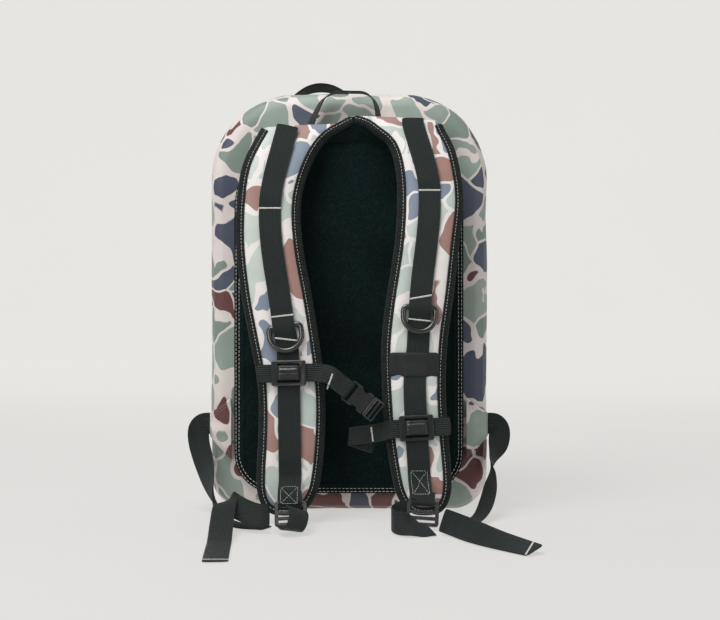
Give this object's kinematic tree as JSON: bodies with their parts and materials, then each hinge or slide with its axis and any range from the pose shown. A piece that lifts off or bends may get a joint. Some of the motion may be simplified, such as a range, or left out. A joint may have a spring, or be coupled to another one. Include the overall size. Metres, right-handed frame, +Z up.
{
  "type": "tackle backpack",
  "caption": "Camouflage tackle backpack with a padded back, shoulder straps, a buckled sternum strap, D-rings, a zipped fold-down front, a zipped pocket and carry loops.",
  "frame": {"origin": "the middle of the flat bottom of the shell, on the ground", "axes": "+Z up, -Y towards the wearer's back and the straps, +Y towards the zipped front, +X to the right when looking at the straps"},
  "size_m": [0.38, 0.5155, 0.5237],
  "materials": {
    "camo_cloth": "coated camouflage cloth, satin",
    "strap_camo_cloth": "coated camouflage cloth, pale, satin",
    "black_mesh": "black spacer mesh over foam, matte",
    "webbing": "ribbed charcoal webbing, matte",
    "zip_tape": "coated zip tape, matte",
    "slider_metal": "dark plated metal, satin",
    "black_plastic": "moulded black nylon, satin",
    "ring_nylon": "moulded black nylon, glossy",
    "patch_rubber": "moulded soft patch, matte",
    "sheet_plastic": "stiff plastic sheet, matte"
  },
  "bodies": {
    "pack": {"shell_body": "camo_cloth", "frame_sheet": "sheet_plastic", "back_panel": "black_mesh", "front_pocket": "camo_cloth", "pocket_zip_upper": "zip_tape", "pocket_zip_lower": "zip_tape", "main_zip_shell_side": "zip_tape", "grab_handle": "webbing", "haul_loop": "webbing", "strap_yoke": "camo_cloth", "lower_webbing_left": "webbing", "lower_webbing_right": "webbing", "wing_tab_left": "camo_cloth", "wing_tab_right": "camo_cloth", "side_loop_left": "webbing", "side_loop_right": "webbing"},
    "lid": {"front_lid": "camo_cloth", "main_zip_lid_side": "zip_tape"},
    "main_slider": {"main_zip_slider": "slider_metal"},
    "main_pull": {"main_zip_pull": "black_plastic"},
    "pocket_slider": {"pocket_zip_slider": "slider_metal"},
    "pocket_pull": {"pocket_zip_pull": "black_plastic"},
    "strap_left": {"strap_pad_left": "black_mesh", "strap_face_left": "strap_camo_cloth", "strap_webbing_left": "webbing"},
    "strap_right": {"strap_pad_right": "black_mesh", "strap_face_right": "strap_camo_cloth", "strap_webbing_right": "webbing", "blank_patch": "patch_rubber"},
    "ring_left": {"d_ring_left": "ring_nylon"},
    "ring_right": {"d_ring_right": "ring_nylon"},
    "lock_left": {"ladder_lock_left": "black_plastic", "adjuster_tail_left": "webbing"},
    "lock_right": {"ladder_lock_right": "black_plastic", "adjuster_tail_right": "webbing"},
    "sternum_left": {"sternum_slider_left": "black_plastic", "sternum_webbing_left": "webbing", "buckle_female": "black_plastic"},
    "sternum_right": {"sternum_slider_right": "black_plastic", "sternum_webbing_right": "webbing"},
    "buckle_plug": {"buckle_male": "black_plastic"}
  },
  "joints": [
    {"name": "lid_hinge", "type": "hinge", "parent": "pack", "child": "lid", "pos_m": [0, 0.0868, 0.2253], "axis": [-1, 0, 0], "range_deg": [0, 100]},
    {"name": "main_zip_travel", "type": "slide", "parent": "pack", "child": "main_slider", "axis": [0, 0, 1], "range_m": [0, 0.14]},
    {"name": "main_pull_swing", "type": "hinge", "parent": "main_slider", "child": "main_pull", "pos_m": [0.1672, 0.05, 0.238], "axis": [0, -1, 0], "range_deg": [0, 150]},
    {"name": "pocket_zip_travel", "type": "slide", "parent": "pack", "child": "pocket_slider", "axis": [1, 0, 0], "range_m": [0, 0.172]},
    {"name": "pocket_pull_swing", "type": "hinge", "parent": "pocket_slider", "child": "pocket_pull", "pos_m": [-0.086, 0.1242, 0.176], "axis": [0, 0, 1], "range_deg": [0, 150]},
    {"name": "strap_left_swing", "type": "hinge", "parent": "pack", "child": "strap_left", "pos_m": [0, -0.1175, 0.4515], "axis": [-1, 0, 0], "range_deg": [0, 16]},
    {"name": "strap_right_swing", "type": "hinge", "parent": "pack", "child": "strap_right", "pos_m": [0, -0.1175, 0.4515], "axis": [-1, 0, 0], "range_deg": [0, 16]},
    {"name": "ring_left_swing", "type": "hinge", "parent": "strap_left", "child": "ring_left", "pos_m": [-0.07138, -0.15888, 0.21749], "axis": [-0.9845, -0.0159, -0.1747], "range_deg": [0, 150]},
    {"name": "ring_right_swing", "type": "hinge", "parent": "strap_right", "child": "ring_right", "pos_m": [0.07965, -0.15703, 0.23868], "axis": [-0.9984, 0.0049, 0.0569], "range_deg": [0, 150]},
    {"name": "lock_left_tilt", "type": "hinge", "parent": "strap_left", "child": "lock_left", "pos_m": [-0.06163, -0.20568, 0.02815], "axis": [-0.9987, -0.026, -0.0438], "range_deg": [0, 35]},
    {"name": "lock_right_tilt", "type": "hinge", "parent": "strap_right", "child": "lock_right", "pos_m": [0.08095, -0.20569, 0.02813], "axis": [-0.9971, 0.0389, 0.0656], "range_deg": [0, 35]},
    {"name": "sternum_left_travel", "type": "slide", "parent": "strap_left", "child": "sternum_left", "axis": [-0.0232, 0.1239, 0.992], "range_m": [-0.042, 0.001]},
    {"name": "sternum_right_travel", "type": "slide", "parent": "strap_right", "child": "sternum_right", "axis": [-0.0525, 0.119, 0.9915], "range_m": [-0.018, 0.02]},
    {"name": "buckle_plug_travel", "type": "slide", "parent": "sternum_left", "child": "buckle_plug", "axis": [0.788, 0, -0.6157], "range_m": [0, 0.018]}
  ],
  "couplings": [
    {"joint": "strap_right_swing", "follows": "strap_left_swing", "ratio": 1}
  ]
}
